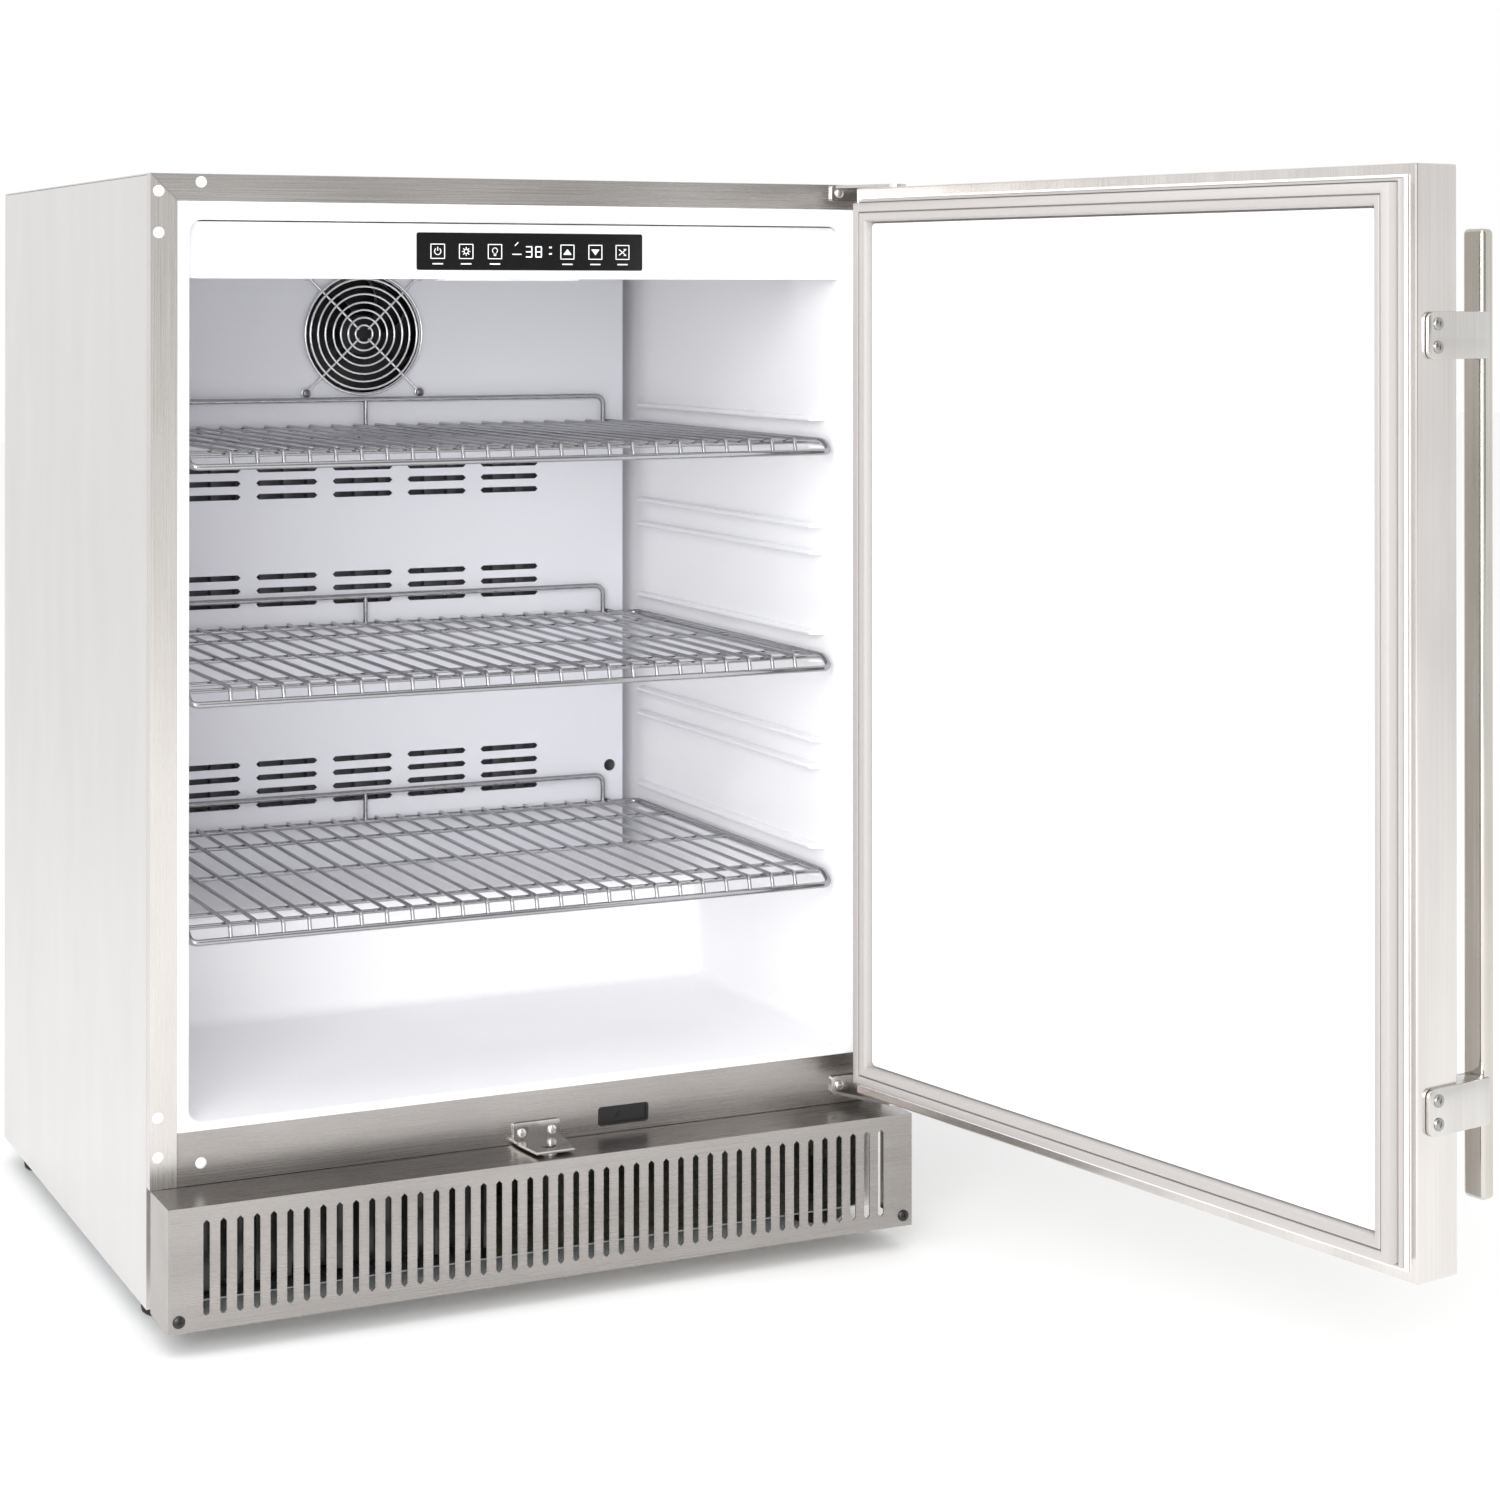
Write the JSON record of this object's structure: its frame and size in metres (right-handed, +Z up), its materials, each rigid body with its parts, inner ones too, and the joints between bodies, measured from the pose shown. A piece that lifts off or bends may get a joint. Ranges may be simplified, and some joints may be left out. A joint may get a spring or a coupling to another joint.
{
  "type": "undercounter refrigerator",
  "caption": "Undercounter refrigerator with an open hinged door, sliding wire shelves, a fan-cooled back wall, a control fascia and a slotted toe grille.",
  "frame": {"origin": "on the floor, below the centre of the overall box with the door open as stored", "axes": "+Z up, +Y from the door side towards the cabinet's back, +X towards the hinge side"},
  "size_m": [0.7438, 1.159, 0.851],
  "materials": {
    "back_panel": "galvanised sheet",
    "base_pan": "galvanised sheet",
    "compressor": "gloss black paint",
    "condenser_coil": "bare fins",
    "condenser_fan_frame": "satin",
    "condenser_fan_rotor": "satin",
    "control_panel": "polished",
    "cord_gland": "satin",
    "door_foam": "cellular foam",
    "door_gasket": "soft extrusion",
    "door_liner": "smooth moulding",
    "door_sensor": "satin",
    "door_skin": "satin brushed",
    "evaporator_coil": "bare fins",
    "evaporator_cover": "smooth painted sheet",
    "evaporator_fan_frame": "satin",
    "evaporator_fan_rotor": "satin",
    "fan_guard": "bright plated wire",
    "fascia": "smooth moulding",
    "foot_front_left": "moulded",
    "foot_front_right": "moulded",
    "foot_rear_left": "moulded",
    "foot_rear_right": "moulded",
    "frame_bottom": "satin brushed",
    "frame_left": "satin brushed",
    "frame_right": "satin brushed",
    "frame_top": "satin brushed",
    "handle_bar": "fine satin",
    "handle_bracket_bottom": "fine satin",
    "handle_bracket_top": "fine satin",
    "hinge_bracket_bottom": "satin brushed",
    "hinge_bracket_top": "satin brushed",
    "insulation": "cellular foam",
    "kick_grille": "satin brushed",
    "kick_screw_left": "black coated steel",
    "kick_screw_right": "black coated steel",
    "lamp_lens": "diffusing",
    "liner_back": "smooth moulding",
    "liner_floor": "smooth moulding",
    "liner_left": "smooth moulding",
    "liner_right": "smooth moulding",
    "liner_top": "smooth moulding",
    "lock_barrel": "bright plated wire",
    "lock_bolt": "bright plated wire",
    "machine_cover": "galvanised sheet",
    "plug_bottom": "satin",
    "plug_lower_left_high": "satin",
    "plug_lower_left_low": "satin",
    "plug_top": "satin",
    "plug_upper_left_high": "satin",
    "plug_upper_left_low": "satin",
    "shelf_bottom": "bright plated wire",
    "shelf_middle": "bright plated wire",
    "shelf_top": "bright plated wire",
    "side_panel_left": "satin brushed",
    "side_panel_right": "satin brushed",
    "strike_bracket": "fine satin",
    "top_panel": "satin brushed"
  },
  "bodies": {
    "cabinet": {"back_panel": "back_panel", "base_pan": "base_pan", "compressor": "compressor", "condenser_coil": "condenser_coil", "condenser_fan_frame": "condenser_fan_frame", "control_panel": "control_panel", "cord_gland": "cord_gland", "door_sensor": "door_sensor", "evaporator_coil": "evaporator_coil", "evaporator_cover": "evaporator_cover", "evaporator_fan_frame": "evaporator_fan_frame", "fan_guard": "fan_guard", "fascia": "fascia", "frame_bottom": "frame_bottom", "frame_left": "frame_left", "frame_right": "frame_right", "frame_top": "frame_top", "hinge_bracket_bottom": "hinge_bracket_bottom", "hinge_bracket_top": "hinge_bracket_top", "insulation": "insulation", "kick_grille": "kick_grille", "kick_screw_left": "kick_screw_left", "kick_screw_right": "kick_screw_right", "lamp_lens": "lamp_lens", "liner_back": "liner_back", "liner_floor": "liner_floor", "liner_left": "liner_left", "liner_right": "liner_right", "liner_top": "liner_top", "machine_cover": "machine_cover", "plug_bottom": "plug_bottom", "plug_lower_left_high": "plug_lower_left_high", "plug_lower_left_low": "plug_lower_left_low", "plug_top": "plug_top", "plug_upper_left_high": "plug_upper_left_high", "plug_upper_left_low": "plug_upper_left_low", "side_panel_left": "side_panel_left", "side_panel_right": "side_panel_right", "strike_bracket": "strike_bracket", "top_panel": "top_panel"},
    "door": {"door_skin": "door_skin", "door_liner": "door_liner", "door_foam": "door_foam", "door_gasket": "door_gasket", "handle_bar": "handle_bar", "handle_bracket_top": "handle_bracket_top", "handle_bracket_bottom": "handle_bracket_bottom"},
    "lock_barrel": {"lock_barrel": "lock_barrel"},
    "lock_bolt": {"lock_bolt": "lock_bolt"},
    "evaporator_fan_rotor": {"evaporator_fan_rotor": "evaporator_fan_rotor"},
    "condenser_fan_rotor": {"condenser_fan_rotor": "condenser_fan_rotor"},
    "shelf_top": {"shelf_top": "shelf_top"},
    "shelf_middle": {"shelf_middle": "shelf_middle"},
    "shelf_bottom": {"shelf_bottom": "shelf_bottom"},
    "foot_front_left": {"foot_front_left": "foot_front_left"},
    "foot_front_right": {"foot_front_right": "foot_front_right"},
    "foot_rear_left": {"foot_rear_left": "foot_rear_left"},
    "foot_rear_right": {"foot_rear_right": "foot_rear_right"}
  },
  "joints": [
    {"name": "door_hinge", "type": "hinge", "parent": "cabinet", "child": "door", "pos_m": [0.21612, 0.00447, 0.124], "axis": [0, 0, 1], "range_deg": [-100.5, 59.5]},
    {"name": "lock_turn", "type": "hinge", "parent": "door", "child": "lock_barrel", "pos_m": [0.27942, -0.27671, 0.152], "axis": [0.9833, 0.1822, 0], "range_deg": [0, 90]},
    {"name": "lock_bolt_slide", "type": "slide", "parent": "door", "child": "lock_bolt", "axis": [0, 0, -1], "range_m": [0, 0.016]},
    {"name": "evaporator_fan_spin", "type": "hinge", "parent": "cabinet", "child": "evaporator_fan_rotor", "pos_m": [-0.07188, 0.49702, 0.7267], "axis": [0, 1, 0], "continuous": true},
    {"name": "condenser_fan_spin", "type": "hinge", "parent": "cabinet", "child": "condenser_fan_rotor", "pos_m": [-0.22188, 0.13572, 0.06715], "axis": [0, 1, 0], "continuous": true},
    {"name": "shelf_top_slide", "type": "slide", "parent": "cabinet", "child": "shelf_top", "axis": [0, -1, 0], "range_m": [0, 0.045]},
    {"name": "shelf_middle_slide", "type": "slide", "parent": "cabinet", "child": "shelf_middle", "axis": [0, -1, 0], "range_m": [0, 0.045]},
    {"name": "shelf_bottom_slide", "type": "slide", "parent": "cabinet", "child": "shelf_bottom", "axis": [0, -1, 0], "range_m": [0, 0.045]},
    {"name": "foot_front_left_thread", "type": "slide", "parent": "cabinet", "child": "foot_front_left", "axis": [0, 0, 1], "range_m": [-0.012, 0]},
    {"name": "foot_front_right_thread", "type": "slide", "parent": "cabinet", "child": "foot_front_right", "axis": [0, 0, 1], "range_m": [-0.012, 0]},
    {"name": "foot_rear_left_thread", "type": "slide", "parent": "cabinet", "child": "foot_rear_left", "axis": [0, 0, 1], "range_m": [-0.012, 0]},
    {"name": "foot_rear_right_thread", "type": "slide", "parent": "cabinet", "child": "foot_rear_right", "axis": [0, 0, 1], "range_m": [-0.012, 0]}
  ],
  "couplings": [
    {"joint": "lock_bolt_slide", "follows": "lock_turn", "m_per_rad": 0.010185}
  ]
}
